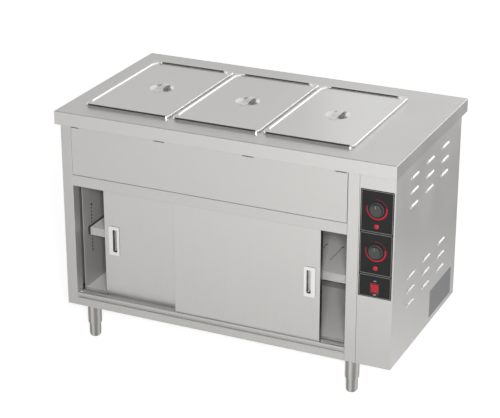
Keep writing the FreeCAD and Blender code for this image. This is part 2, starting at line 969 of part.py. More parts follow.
def door_handle(door_x, y, side):
    # a flat plate with a finger dish pressed through it
    middle = door_z[1] - handle_drop - handle_z / 2
    plate_y = (y[0] - handle_sheet, y[0])
    plate = front_block(handle_x_range(door_x, side), plate_y, around(middle, handle_z), handle_radius)
    outer = front_block(
        dish_x_range(door_x, side, dish_wall), (plate_y[0], plate_y[0] + dish_y + dish_wall),
        dish_z_range(dish_wall), dish_radius + dish_wall,
    )
    inner = front_block(
        dish_x_range(door_x, side, 0), (plate_y[0] - overrun, plate_y[0] + dish_y),
        dish_z_range(0), dish_radius,
    )
    return plate.fuse(outer).cut(inner).removeSplitter()


def door_hangers(door_x, y):
    # moulded hangers: a shoe in the track, a stem through the slot and a foot on the door
    hangers = []
    middle_y = (y[0] + y[1]) / 2
    lip_top = header_top - panel_sheet - hang_rail_height + track_sheet
    shoe_half = door_depth / 2 + hang_rail_side_play - track_sheet - hanger_play
    for x in (door_x + hanger_inset, door_x + door_width - hanger_inset):
        shoe = block(
            around(x, hanger_length), (middle_y - shoe_half, middle_y + shoe_half),
            (lip_top, lip_top + hanger_shoe_height),
        )
        stem = block(
            around(x, hanger_stem_length), around(middle_y, hanger_stem), (door_z[1], lip_top)
        )
        foot = block(
            around(x, hanger_length), inset(y, door_sheet),
            (door_z[1], door_z[1] + hanger_foot_height),
        )
        hangers.append(shoe.fuse([stem, foot]).removeSplitter())
    return Part.makeCompound(hangers)


# Control box


def control_front_panel():
    # the front plate of the control box, with the holes of its controls
    y = (body_front, body_front + panel_return)
    panel = tray(box_x, y, body_z, panel_sheet, ("+y", "+x"))
    outer_x, inner_x = box_x[0], box_x[0] + panel_sheet
    panel = bend(panel, box_bend, lambda box: near(box.XMax, outer_x) and near(box.YMax, body_front))
    inner_bend = box_bend - panel_sheet
    panel = bend(panel, inner_bend, lambda box: near(box.XMax, inner_x) and near(box.YMax, panel_back))
    side_return = (box_x[1] - panel_return, box_x[1] + overrun)
    panel = panel.cut(block(side_return, (panel_back, y[1] + overrun), inset(body_z, -overrun)))
    return panel.cut(control_holes())


def control_holes():
    holes = []
    y = (overlay_front - overrun, panel_back + overrun)
    for z in dial_places:
        centre = (box_middle, y[0], z)
        holes.append(cylinder(centre, along_y, spindle_radius + panel_hole_play, y[1] - y[0]))
        centre = (box_middle, y[0], z - lamp_drop)
        holes.append(cylinder(centre, along_y, lamp_body_radius, y[1] - y[0]))
    body_x, body_z_span = switch_body_ranges()
    holes.append(front_block(body_x, y, body_z_span, switch_radius))
    return holes[0].fuse(holes[1:])


def switch_body_ranges():
    middle = overlay_top - switch_drop
    x = around(box_middle, switch_x - 2 * switch_rim)
    return x, around(middle, switch_z - 2 * switch_rim)


def louvre_arc(radius_extra):
    # the hood's outline along its length: straight in the middle, falling to the panel at its ends
    height, proud = louvre_height, louvre_proud
    bulge = (height**2 / proud + proud) / 2
    sink = bulge - proud
    outer = bulge + radius_extra
    edge = sink + radius_extra
    half = louvre_length / 2
    flat = half - louvre_end
    # each end falls in one arc, by way of the middle of a quarter ellipse
    middle_y = flat + louvre_end * math.sin(math.radians(45))
    middle_r = edge + proud * math.sin(math.radians(45))
    face = profile(
        "yz",
        (-half, 0),
        [
            (-half, edge),
            ((-middle_y, middle_r), (-flat, outer)),
            (flat, outer),
            ((middle_y, middle_r), (half, edge)),
            (half, 0),
        ],
    )
    return face, sink


def louvre(radius_extra, start_angle, turn_angle):
    # a hood standing out of the plane x = 0, its open edge on z = 0
    face, sink = louvre_arc(radius_extra)
    face.rotate(FreeCAD.Vector(0, 0, 0), along_y, 90 - start_angle)
    hood = face.revolve(FreeCAD.Vector(0, 0, 0), along_y, -turn_angle)
    return moved(hood, -sink, 0, 0)


def louvre_places():
    upper = underside - louvre_top_drop
    lower = base_height + louvre_base_rise + (louvre_rows - 1) * louvre_pitch_z
    places = []
    for top in (upper, lower):
        for row in range(louvre_rows):
            for column in range(louvre_columns):
                y = body_front + louvre_first_y + column * louvre_pitch_y
                places.append((y, top - row * louvre_pitch_z - louvre_height / 2))
    return places


def louvred_side_panel():
    # the outer side of the control box with pressed louvres, open along their lower edges
    x = (box_x[0] + (box_x[1] - box_x[0]) / 2, box_x[1])
    y = (panel_back, body_rear)
    panel = block(x, y, body_z)
    inner = block(
        (x[0] - overrun, x[1] - panel_sheet), inset(y, panel_sheet), inset(body_z, panel_sheet)
    )
    trim = block(
        (x[0] - overrun, x[1] - panel_return), inset(y, -overrun), inset(body_z, -overrun)
    )
    panel = panel.cut(inner.fuse(trim))
    hood = louvre(0, 0, 90)
    hollow = louvre(-panel_sheet, -30, 120)
    outside = block((0, 2 * louvre_proud), around(0, 2 * louvre_length), around(0, 4 * louvre_height))
    hood = hood.common(outside)
    hoods = [moved(hood, x[1], place_y, place_z) for place_y, place_z in louvre_places()]
    reach = block(
        (-2 * panel_sheet, 2 * louvre_proud), around(0, 2 * louvre_length),
        (-louvre_mouth, 2 * louvre_height),
    )
    hollow = hollow.common(reach)
    hollows = [moved(hollow, x[1], place_y, place_z) for place_y, place_z in louvre_places()]
    return panel.fuse(hoods).cut(hollows)


def control_box_back():
    # the folded rear and bottom of the control box, with the cable gland's hole
    x = (box_x[0], box_x[1] - panel_return)
    y = (body_front + panel_return, body_rear)
    back = tray(x, y, body_z, panel_sheet, ("-x", "+x", "-y", "+z"))
    centre = (box_middle, body_rear - overrun, base_height + gland_rise)
    return back.cut(cylinder(centre, along_y, gland_radius, 2 * overrun))


def control_overlay():
    x = around(box_middle, overlay_x)
    y = (overlay_front, body_front)
    overlay = front_block(x, y, (overlay_top - overlay_z, overlay_top), overlay_radius)
    return overlay.cut(control_holes())


def spindle_section(radius, y):
    # a round bar along y with one flat on top
    bar = cylinder((0, y[0], 0), along_y, radius, y[1] - y[0])
    flat = block(
        around(0, 4 * radius), inset(y, -overrun), (radius - spindle_flat, radius + overrun)
    )
    return bar.cut(flat)


def knob():
    # a round knob on a wide skirt, fluted round its grip, with a socket for the spindle
    front = knob_back - knob_height
    skirt = knob_back - knob_skirt
    round_share = math.sin(math.radians(45))
    corner = (
        knob_front_radius - knob_bend * (1 - round_share), front + knob_bend * (1 - round_share)
    )
    face = profile(
        "xy",
        (0, knob_back),
        [
            (knob_radius, knob_back),
            (knob_radius, skirt),
            (knob_grip_radius, skirt - knob_bend / 2),
            (knob_front_radius, front + knob_bend),
            (corner, (knob_front_radius - knob_bend, front)),
            (0, front),
        ],
    )
    body = turned(face, (0, 0, 0), along_y)
    flutes = []
    for index in range(knob_flutes):
        angle = 2 * math.pi * (index + 0.5) / knob_flutes
        reach = knob_front_radius + knob_flute_radius - knob_flute_depth
        centre = (reach * math.cos(angle), front - overrun, reach * math.sin(angle))
        length = knob_height - knob_skirt + overrun - knob_bend
        flutes.append(cylinder(centre, along_y, knob_flute_radius, length))
    body = body.cut(flutes[0].fuse(flutes[1:]))
    return body.cut(spindle_section(spindle_radius, (knob_back - spindle_grip, knob_back + overrun)))


def spindle():
    end = panel_back + thermostat_plate + spindle_inside
    bar = cylinder((0, knob_back, 0), along_y, spindle_radius, end - knob_back)
    return bar.fuse(spindle_section(spindle_radius, (knob_back - spindle_grip, knob_back)))


def thermostat():
    # a boxed thermostat screwed behind the front plate by its two ears
    plate = front_block(
        around(0, thermostat_x + 2 * thermostat_ear), (panel_back, panel_back + thermostat_plate),
        around(0, thermostat_z), knob_bend,
    )
    body = front_block(
        around(0, thermostat_x), (panel_back, panel_back + thermostat_plate + thermostat_y),
        around(0, thermostat_z), knob_bend,
    )
    bore_length = thermostat_plate + spindle_inside + spindle_play + overrun
    bore = cylinder((0, panel_back - overrun, 0), along_y, spindle_radius + spindle_play, bore_length)
    return plate.fuse(body).cut(bore)


def pilot_lamp():
    # a domed lens with a body that passes the panel
    back = overlay_front
    rim = back - lamp_rim
    across, rise = cap_midpoint(lamp_radius, lamp_proud - lamp_rim)
    face = profile(
        "xy",
        (0, panel_back + lamp_body_length),
        [
            (lamp_body_radius, panel_back + lamp_body_length),
            (lamp_body_radius, back),
            (lamp_radius, back),
            (lamp_radius, rim),
            ((across, rim - rise), (0, back - lamp_proud)),
        ],
    )
    return turned(face, (0, 0, 0), along_y)


def switch_housing():
    # a rim on the overlay and a hollow body through the panel
    middle = overlay_top - switch_drop
    rim_y = (overlay_front - switch_rim, overlay_front)
    rim = front_block(
        around(box_middle, switch_x), rim_y, around(middle, switch_z), switch_radius
    )
    body_x, body_z_span = switch_body_ranges()
    body_y = (overlay_front, panel_back + switch_body_depth)
    body = front_block(body_x, body_y, body_z_span, switch_radius)
    cavity = block(
        around(box_middle, rocker_x + 2 * rocker_play),
        (rim_y[0] - overrun, body_y[1] - switch_wall),
        around(middle, 2 * (rocker_half_height + rocker_play)),
    )
    return rim.fuse(body).cut(cavity)


def switch_rocker():
    # a shallow vee across its face and round ends about the pivot; it rests tipped to OFF
    middle = overlay_top - switch_drop
    pivot_y = overlay_front + rocker_pivot_depth
    reach = rocker_half_height
    top_y = -rocker_tip
    top_z = math.sqrt(reach**2 - rocker_tip**2)
    back_z = math.sqrt(reach**2 - rocker_back**2)
    hollow_y = top_y + top_z * math.tan(math.radians(rocker_angle))
    face = profile(
        "yz",
        (top_y, top_z),
        [
            (hollow_y, 0),
            (top_y, -top_z),
            ((0, -reach), (rocker_back, -back_z)),
            (rocker_back, back_z),
            ((0, reach), (top_y, top_z)),
        ],
    )
    rocker = face.extrude(FreeCAD.Vector(rocker_x, 0, 0))
    rocker = moved(rocker, -rocker_x / 2, 0, 0)
    rocker.rotate(FreeCAD.Vector(0, 0, 0), along_x, rocker_angle)
    return moved(rocker, box_middle, pivot_y, middle)


def terminal_block():
    # a block with a row of wire wells, on the bottom of the control box
    x = around(box_middle, terminal_x)
    middle_y = body_rear - terminal_rear_gap
    z = (base_height + panel_sheet, base_height + panel_sheet + terminal_z)
    body = block(x, around(middle_y, terminal_y), z)
    wells = []
    for index in range(terminal_count):
        place = x[0] + (index + 0.5) * terminal_x / terminal_count
        for side in (-1, 1):
            centre = (place, middle_y + side * terminal_y / 4, z[1] - terminal_z / 2)
            wells.append(cylinder(centre, along_z, terminal_radius, terminal_z))
    return body.cut(wells[0].fuse(wells[1:]))


def cable_gland():
    # a hexagon and domed cap outside the rear, a thread through it and a nut inside
    centre_z = base_height + gland_rise
    sheet_back = body_rear
    cap_end = sheet_back + gland_hex_length + gland_cap_length
    middle_share = math.sin(math.radians(45))
    bend_y = cap_end - gland_cap_bend + gland_cap_bend * middle_share
    bend_r = gland_cap_radius - gland_cap_bend + gland_cap_bend * middle_share
    start_y = sheet_back - panel_sheet - gland_nut_length
    face = profile(
        "xy",
        (gland_bore, start_y),
        [
            (gland_radius, start_y),
            (gland_radius, sheet_back),
            (gland_cap_radius, sheet_back),
            (gland_cap_radius, cap_end - gland_cap_bend),
            ((bend_r, bend_y), (gland_cap_radius - gland_cap_bend, cap_end)),
            (gland_bore, cap_end),
        ],
    )
    body = turned(face, (0, 0, 0), along_y)
    collar = hexagon((0, sheet_back, 0), along_y, 2 * gland_hex, gland_hex_length)
    nut = hexagon((0, start_y, 0), along_y, 2 * gland_hex, gland_nut_length)
    bore = cylinder((0, start_y - overrun, 0), along_y, gland_bore, cap_end - start_y + 2 * overrun)
    return moved(body.fuse([collar, nut]).cut(bore), box_middle, 0, centre_z)


# Legs and feet


def leg_places():
    return [(x, y) for y in leg_places_y for x in leg_places_x]


def leg_tube():
    # a tube with a closed head and stud, a nut plate inside and a mouth drawn in at its foot
    mouth_top = leg_mouth_z + leg_taper
    bore = leg_radius - leg_wall
    face = profile(
        "xz",
        (leg_mouth_radius - leg_mouth_wall, leg_mouth_z),
        [
            (leg_mouth_radius, leg_mouth_z),
            (leg_radius, mouth_top),
            (leg_radius, base_height),
            (leg_stud_radius, base_height),
            (leg_stud_radius, base_height + leg_stud_length),
            (0, base_height + leg_stud_length),
            (0, base_height - leg_head),
            (bore, base_height - leg_head),
            (bore, leg_nut_plate_z + leg_nut_plate),
            (foot_stem_radius + foot_play, leg_nut_plate_z + leg_nut_plate),
            (foot_stem_radius + foot_play, leg_nut_plate_z),
            (bore, leg_nut_plate_z),
            (bore, mouth_top + leg_wall),
            (leg_mouth_radius - leg_mouth_wall, mouth_top - leg_taper / 2),
        ],
    )
    return turned(face, (0, 0, 0), along_z)


def leg_nut():
    bottom = base_height + plate_thickness
    nut = hexagon((0, 0, bottom), along_z, leg_nut_flats, leg_nut_height)
    return nut.cut(cylinder((0, 0, bottom - overrun), along_z, leg_stud_radius, 2 * rail_width))


def foot():
    # a bullet foot with a flat pad below and a threaded stem above
    pad_radius = foot_radius - foot_bend
    halfway = math.radians(45)
    middle = (pad_radius + foot_bend * math.sin(halfway), foot_bend * (1 - math.cos(halfway)))
    face = profile(
        "xz",
        (0, 0),
        [
            (pad_radius, 0),
            (middle, (foot_radius, foot_bend)),
            (foot_radius, foot_body_height),
            (foot_stem_radius, foot_body_height),
            (foot_stem_radius, foot_stem_top),
            (0, foot_stem_top),
        ],
    )
    return turned(face, (0, 0, 0), along_z)


# Gather the pieces under their names


def at_places(shape, places):
    return Part.makeCompound([moved(shape, x, y, 0) for x, y in places])


def collect():
    pieces = {
        "worktop": worktop(),
        "heated_well": heated_well(),
        "pan_support_bars": pan_support_bars(),
        "front_fascia": front_fascia(),
        "front_left_post": post(left_post, front_post),
        "front_right_post": post(right_post, front_post),
        "rear_posts": Part.makeCompound([post(left_post, rear_post), post(right_post, rear_post)]),
        "header_rail": header_rail(),
        "base_front_rail": base_front_rail(),
        "base_frame": base_frame(),
        "cupboard_floor": cupboard_floor(),
        "left_side_panel": left_side_panel(),
        "partition_panel": partition_panel(),
        "back_panel": back_panel(),
        "cupboard_liner": cupboard_liner(),
        "shelf_clips": shelf_clips(),
        "shelf": shelf(),
        "well_element": well_element(),
        "cupboard_element": cupboard_element(),
        "heater_guard": heater_guard(),
        "top_door_track": top_door_track(),
        "bottom_door_track": bottom_door_track(),
        "control_front_panel": control_front_panel(),
        "louvred_side_panel": louvred_side_panel(),
        "control_box_back": control_box_back(),
        "control_overlay": control_overlay(),
        "switch_housing": switch_housing(),
        "switch_rocker": switch_rocker(),
        "terminal_block": terminal_block(),
        "cable_gland": cable_gland(),
        "leg_tubes": at_places(leg_tube(), leg_places()),
        "leg_nuts": at_places(leg_nut(), leg_places()),
    }
    doors = (
        ("left_door", left_door_x, rear_door_y, -1),
        ("right_door", right_door_x, front_door_y, 1),
    )
    for name, door_x, y, side in doors:
        pieces[name + "_skin"] = door_skin(door_x, y, side)
        pieces[name + "_inner"] = door_inner(door_x, y)
        pieces[name + "_handle"] = door_handle(door_x, y, side)
        pieces[name + "_hangers"] = door_hangers(door_x, y)
    one_pan, one_lid, one_handle = pan(), lid(), lid_handle()
    for name, x in zip(pan_names(), pan_centres()):
        pieces["pan_" + name] = moved(one_pan, x, pan_centre_y, 0)
        pieces["lid_" + name] = moved(one_lid, x, pan_centre_y, 0)
        pieces["lid_handle_" + name] = moved(one_handle, x, pan_centre_y, 0)
    lamps = []
    for name, z in zip(("well", "cupboard"), dial_places):
        pieces[name + "_knob"] = moved(knob(), box_middle, 0, z)
        pieces[name + "_spindle"] = moved(spindle(), box_middle, 0, z)
        pieces[name + "_thermostat"] = moved(thermostat(), box_middle, 0, z)
        lamps.append(moved(pilot_lamp(), box_middle, 0, z - lamp_drop))
    pieces["pilot_lamps"] = Part.makeCompound(lamps)
    foot_names = ("front_left", "front_right", "rear_left", "rear_right")
    for name, (x, y) in zip(foot_names, leg_places()):
        pieces["foot_" + name] = moved(foot(), x, y, 0)
    return pieces


def save(pieces):
    os.makedirs("parts", exist_ok=True)
    middle_x = (top_length - box_setback + louvre_proud) / 2
    middle_y = (top_depth + knob_back - knob_height) / 2
    for name, shape in pieces.items():
        solids = shape.Solids
        whole = solids[0] if len(solids) == 1 else Part.makeCompound(solids)
        placed = moved(whole, -middle_x, -middle_y, 0)
        placed.exportStep("parts/" + name + ".step")
        box = placed.BoundBox
        print(name, len(solids), placed.isValid(), round(placed.Volume), box)


save(collect())
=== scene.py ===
import json
import math

import bmesh
import bpy
from mathutils import Matrix, Vector


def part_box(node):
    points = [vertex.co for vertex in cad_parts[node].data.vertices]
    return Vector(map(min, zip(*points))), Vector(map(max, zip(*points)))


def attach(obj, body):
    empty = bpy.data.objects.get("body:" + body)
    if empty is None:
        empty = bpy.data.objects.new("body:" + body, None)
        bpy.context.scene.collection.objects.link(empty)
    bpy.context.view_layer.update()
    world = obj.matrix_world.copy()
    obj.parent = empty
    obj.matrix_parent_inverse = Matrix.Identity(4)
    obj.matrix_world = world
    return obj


# A heated serving counter: three lidded pans in a stainless worktop, a plate cupboard with two
# sliding doors and a control box. Metres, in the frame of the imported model.
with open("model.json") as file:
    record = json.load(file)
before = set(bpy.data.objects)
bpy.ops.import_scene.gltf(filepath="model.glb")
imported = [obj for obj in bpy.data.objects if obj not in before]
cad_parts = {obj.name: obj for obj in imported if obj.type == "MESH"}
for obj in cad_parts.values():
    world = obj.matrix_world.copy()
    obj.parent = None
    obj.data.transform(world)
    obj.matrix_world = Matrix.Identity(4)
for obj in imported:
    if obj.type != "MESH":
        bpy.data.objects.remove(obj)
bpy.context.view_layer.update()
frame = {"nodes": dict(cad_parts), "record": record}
nodes = frame["nodes"]
mm = 0.001
print("frame loaded:", len(nodes), "nodes")


# Small helpers for colours and shader nodes

def linear(hexColour):
    # an sRGB hex colour as linear red, green, blue and alpha
    parts = [int(hexColour[i:i + 2], 16) / 255 for i in (0, 2, 4)]
    return [p / 12.92 if p <= 0.04045 else ((p + 0.055) / 1.055) ** 2.4 for p in parts] + [1]


def addNode(tree, kind, inputs=None, **settings):
    # one shader node with its settings; an input is a value or another node's output
    node = tree.nodes.new(kind)
    for name, value in settings.items():
        setattr(node, name, value)
    for name, value in (inputs or {}).items():
        socket = node.inputs[name]
        if isinstance(value, bpy.types.NodeSocket):
            tree.links.new(value, socket)
        else:
            socket.default_value = value
    return node


def newMaterial(name):
    # an empty material and its node tree
    material = bpy.data.materials.new(name)
    material.use_nodes = True
    tree = material.node_tree
    tree.nodes.clear()
    return material, tree


def finishMaterial(tree, shader):
    # joins the shader to the material's output
    addNode(tree, "ShaderNodeOutputMaterial", {"Surface": shader.outputs[0]})


# Stainless steel, in the finishes that the counter has

# number 4 polish: belt-ground sheet, a fine directional grain that softens reflections
sheetFinish = {
    "grainWidth": 1.1 * mm,      # real scratches are 0.05 mm apart; drawn this coarse so that they show
    "grainLength": 160 * mm,
    "grainHeight": 0.1 * mm,
    "grainDepth": 0.035,         # the share of that height that the light shows
    "grainRoughness": 0.05,
    "grainColour": 0.05,
    "cloudSize": 240 * mm,       # handling marks and slight oil canning in thin sheet
    "cloudSpan": (0.3, 0.7),     # the part of the cloud noise that is spread over the roughness
    "cloudRoughness": 0.05,
    "edgeHighlight": 0.35,                # how much brighter folded edges are painted: a painted highlight
    "edgeRadius": 1.6 * mm,
    "edgeSpan": (0.99, 0.8),     # how far a normal agrees with its rounded one: flat, and fully painted lighter
    "edgeHighlightColour": "e4e3e0",
    "turnSpan": (0.25, 0.5),     # how far a wall faces a way: from its own colour to the painted shade or highlight
    "bandSpan": (-0.6, 1),       # of the wave round a tube: from its own colour to the painted streak's
}

# drawn and buffed steel: the same sheet with its grain all but polished out
softFinish = dict(sheetFinish, grainDepth=0.01, grainRoughness=0.015, grainColour=0.015,
                  cloudRoughness=0.015)


def paintLightByFacing(tree, under, normal, finish, other, way):
    # painted shade or highlight: the other colour on walls that face this way; a longer way takes in less
    # square ones
    towards = addNode(tree, "ShaderNodeVectorMath", {0: normal, 1: way}, operation="DOT_PRODUCT")
    share = addNode(tree, "ShaderNodeMapRange", {
        "Value": towards.outputs["Value"],
        "From Min": finish["turnSpan"][0], "From Max": finish["turnSpan"][1]})
    shaded = addNode(tree, "ShaderNodeMix", {
        "Factor": share.outputs[0], "A": under, "B": linear(other)}, data_type="RGBA")
    return shaded.outputs["Result"]


def paintTubeStreaks(tree, under, normal, finish, streak, count, first):
    # painted reflections: evenly spaced lighter streaks along a round upright tube, the first at this many
    # degrees
    parts = addNode(tree, "ShaderNodeSeparateXYZ", {"Vector": normal})
    angle = addNode(tree, "ShaderNodeMath", {
        0: parts.outputs["Y"], 1: parts.outputs["X"]}, operation="ARCTAN2")
    wave = addNode(tree, "ShaderNodeMath", {
        0: angle.outputs[0], 1: count, 2: -count * math.radians(first)}, operation="MULTIPLY_ADD")
    height = addNode(tree, "ShaderNodeMath", {0: wave.outputs[0]}, operation="COSINE")
    share = addNode(tree, "ShaderNodeMapRange", {
        "Value": height.outputs[0],
        "From Min": finish["bandSpan"][0], "From Max": finish["bandSpan"][1]})
    streaked = addNode(tree, "ShaderNodeMix", {
        "Factor": share.outputs[0], "A": under, "B": linear(streak)}, data_type="RGBA")
    return streaked.outputs["Result"]


def paintEdgeHighlight(tree, under, flat, rounded, finish):
    # the face's own normal against one rounded over the edges finds the edges, which are painted lighter as
    # a painted highlight
    facing = addNode(tree, "ShaderNodeVectorMath", {0: rounded, 1: flat}, operation="DOT_PRODUCT")
    edge = addNode(tree, "ShaderNodeMapRange", {
        "Value": facing.outputs["Value"],
        "From Min": finish["edgeSpan"][0], "From Max": finish["edgeSpan"][1],
        "To Min": 0, "To Max": finish["edgeHighlight"]})
    edgeLit = addNode(tree, "ShaderNodeMix", {
        "Factor": edge.outputs[0], "A": under, "B": linear(finish["edgeHighlightColour"])}, data_type="RGBA")
    return edgeLit.outputs["Result"]


def steel(name, colour, roughness, along, finish=sheetFinish, roundedLitEdges=True, metal=1, facingPaint=(),
          paintedStreaks=None):
    # metal with a grain along one axis, soft clouds in its roughness, and edges rounded in the normal and
    # painted lighter as a highlight;
    # metal under 1 leaves a matt share, which evens out what a wall mirrors;
    # facingPaint lists pairs of a painted shade or highlight colour and a way; paintedStreaks are a painted
    # reflection streak's colour, count and start
    material, tree = newMaterial(name)
    spread = {axis: 1 / finish["grainWidth"] for axis in "xyz"}
    spread[along] = 1 / finish["grainLength"]
    place = addNode(tree, "ShaderNodeTexCoord").outputs["Object"]
    geometry = addNode(tree, "ShaderNodeNewGeometry")
    stretched = addNode(tree, "ShaderNodeMapping", {"Vector": place, "Scale": list(spread.values())})
    grain = addNode(tree, "ShaderNodeTexNoise", {
        "Vector": stretched.outputs[0], "Scale": 1, "Detail": 2, "Roughness": 0.6})
    cloud = addNode(tree, "ShaderNodeTexNoise", {
        "Vector": place, "Scale": 1 / finish["cloudSize"], "Detail": 3, "Roughness": 0.5})
    rough = addNode(tree, "ShaderNodeMapRange", {
        "Value": grain.outputs["Fac"],
        "To Min": roughness - finish["grainRoughness"], "To Max": roughness + finish["grainRoughness"]})
    uneven = addNode(tree, "ShaderNodeMapRange", {
        "Value": cloud.outputs["Fac"],
        "From Min": finish["cloudSpan"][0], "From Max": finish["cloudSpan"][1],
        "To Min": -finish["cloudRoughness"], "To Max": finish["cloudRoughness"]})
    roughSum = addNode(tree, "ShaderNodeMath", {0: rough.outputs[0], 1: uneven.outputs[0]}, use_clamp=True)
    base = linear(colour)
    dark = [c * (1 - finish["grainColour"]) for c in base[:3]] + [1]
    light = [min(c * (1 + finish["grainColour"]), 1) for c in base[:3]] + [1]
    tint = addNode(tree, "ShaderNodeMix", {
        "Factor": grain.outputs["Fac"], "A": dark, "B": light}, data_type="RGBA")
    colourOut = tint.outputs["Result"]
    for other, way in facingPaint:
        colourOut = paintLightByFacing(tree, colourOut, geometry.outputs["Normal"], finish, other, way)
    if paintedStreaks:
        colourOut = paintTubeStreaks(tree, colourOut, geometry.outputs["Normal"], finish, *paintedStreaks)
    bump = addNode(tree, "ShaderNodeBump", {
        "Height": grain.outputs["Fac"],
        "Strength": finish["grainDepth"], "Distance": finish["grainHeight"]})
    if roundedLitEdges:
        rounded = addNode(tree, "ShaderNodeBevel", {"Radius": finish["edgeRadius"]}, samples=4).outputs[0]
        colourOut = paintEdgeHighlight(tree, colourOut, geometry.outputs["True Normal"], rounded, finish)
        tree.links.new(rounded, bump.inputs["Normal"])
    shader = addNode(tree, "ShaderNodeBsdfPrincipled", {
        "Base Color": colourOut, "Metallic": metal,
        "Roughness": roughSum.outputs[0], "Normal": bump.outputs[0]})
    finishMaterial(tree, shader)
    return material


mouldedFinish = {
    "poreHeight": 0.1 * mm,
    "patchSize": 30 * mm,        # of the faint unevenness that handling leaves
    "patchRoughness": 0.06,
    "fadeGain": 1.25,            # how much paler the faded patches are
    "fadeLift": 0.004,
    "frontBlur": 0.3 * mm,       # half the step over which the paler front begins
}


def plastic(name, colour, roughness, pore=0.4 * mm, texture=0.05, gloss=0.5, front=None):
    # a moulded or printed plastic: even colour, slight pores from the tool's surface;
    # front is a depth, and the paler colour of what stands out in front of it
    material, tree = newMaterial(name)
    place = addNode(tree, "ShaderNodeTexCoord").outputs["Object"]
    grit = addNode(tree, "ShaderNodeTexNoise", {"Vector": place, "Scale": 1 / pore, "Detail": 2})
    patch = addNode(tree, "ShaderNodeTexNoise", {
        "Vector": place, "Scale": 1 / mouldedFinish["patchSize"], "Detail": 2})
    rough = addNode(tree, "ShaderNodeMapRange", {
        "Value": patch.outputs["Fac"],
        "To Min": roughness - mouldedFinish["patchRoughness"],
        "To Max": roughness + mouldedFinish["patchRoughness"]})
    base = linear(colour)
    gain, lift = mouldedFinish["fadeGain"], mouldedFinish["fadeLift"]
    faded = [min(1, c * gain + lift) for c in base[:3]] + [1]
    tint = addNode(tree, "ShaderNodeMix", {
        "Factor": patch.outputs["Fac"], "A": base, "B": faded}, data_type="RGBA")
    colourOut = tint.outputs["Result"]
    if front:
        depth, paler = front
        y = addNode(tree, "ShaderNodeSeparateXYZ", {"Vector": place}).outputs["Y"]
        share = addNode(tree, "ShaderNodeMapRange", {
            "Value": y,
            "From Min": depth + mouldedFinish["frontBlur"],
            "From Max": depth - mouldedFinish["frontBlur"]})
        frontTone = addNode(tree, "ShaderNodeMix", {
            "Factor": share.outputs[0], "A": colourOut, "B": linear(paler)}, data_type="RGBA")
        colourOut = frontTone.outputs["Result"]
    bump = addNode(tree, "ShaderNodeBump", {
        "Height": grit.outputs["Fac"], "Strength": texture, "Distance": mouldedFinish["poreHeight"]})
    shader = addNode(tree, "ShaderNodeBsdfPrincipled", {
        "Base Color": colourOut, "Roughness": rough.outputs[0],
        "Specular IOR Level": gloss, "IOR": 1.5, "Normal": bump.outputs[0]})
    finishMaterial(tree, shader)
    return material


lensFinish = {
    "hazeSize": 6 * mm,
    "deepShare": 0.75,           # how dark the clearer parts of the haze are
    "inside": (2 * mm, 0.4 * mm, 0.4 * mm),      # how far red, green and blue light travel in it
}


def lensPlastic(name, colour):
    # translucent polycarbonate over a lamp or switch: deep even colour, some light inside it
    material, tree = newMaterial(name)
    place = addNode(tree, "ShaderNodeTexCoord").outputs["Object"]
    haze = addNode(tree, "ShaderNodeTexNoise", {
        "Vector": place, "Scale": 1 / lensFinish["hazeSize"], "Detail": 1})
    base = linear(colour)
    deep = [c * lensFinish["deepShare"] for c in base[:3]] + [1]
    tint = addNode(tree, "ShaderNodeMix", {
        "Factor": haze.outputs["Fac"], "A": deep, "B": base}, data_type="RGBA")
    shader = addNode(tree, "ShaderNodeBsdfPrincipled", {
        "Base Color": tint.outputs["Result"], "Roughness": 0.35, "IOR": 1.58,
        "Specular IOR Level": 0.3, "Subsurface Weight": 0.25,
        "Subsurface Radius": lensFinish["inside"]})
    finishMaterial(tree, shader)
    return material


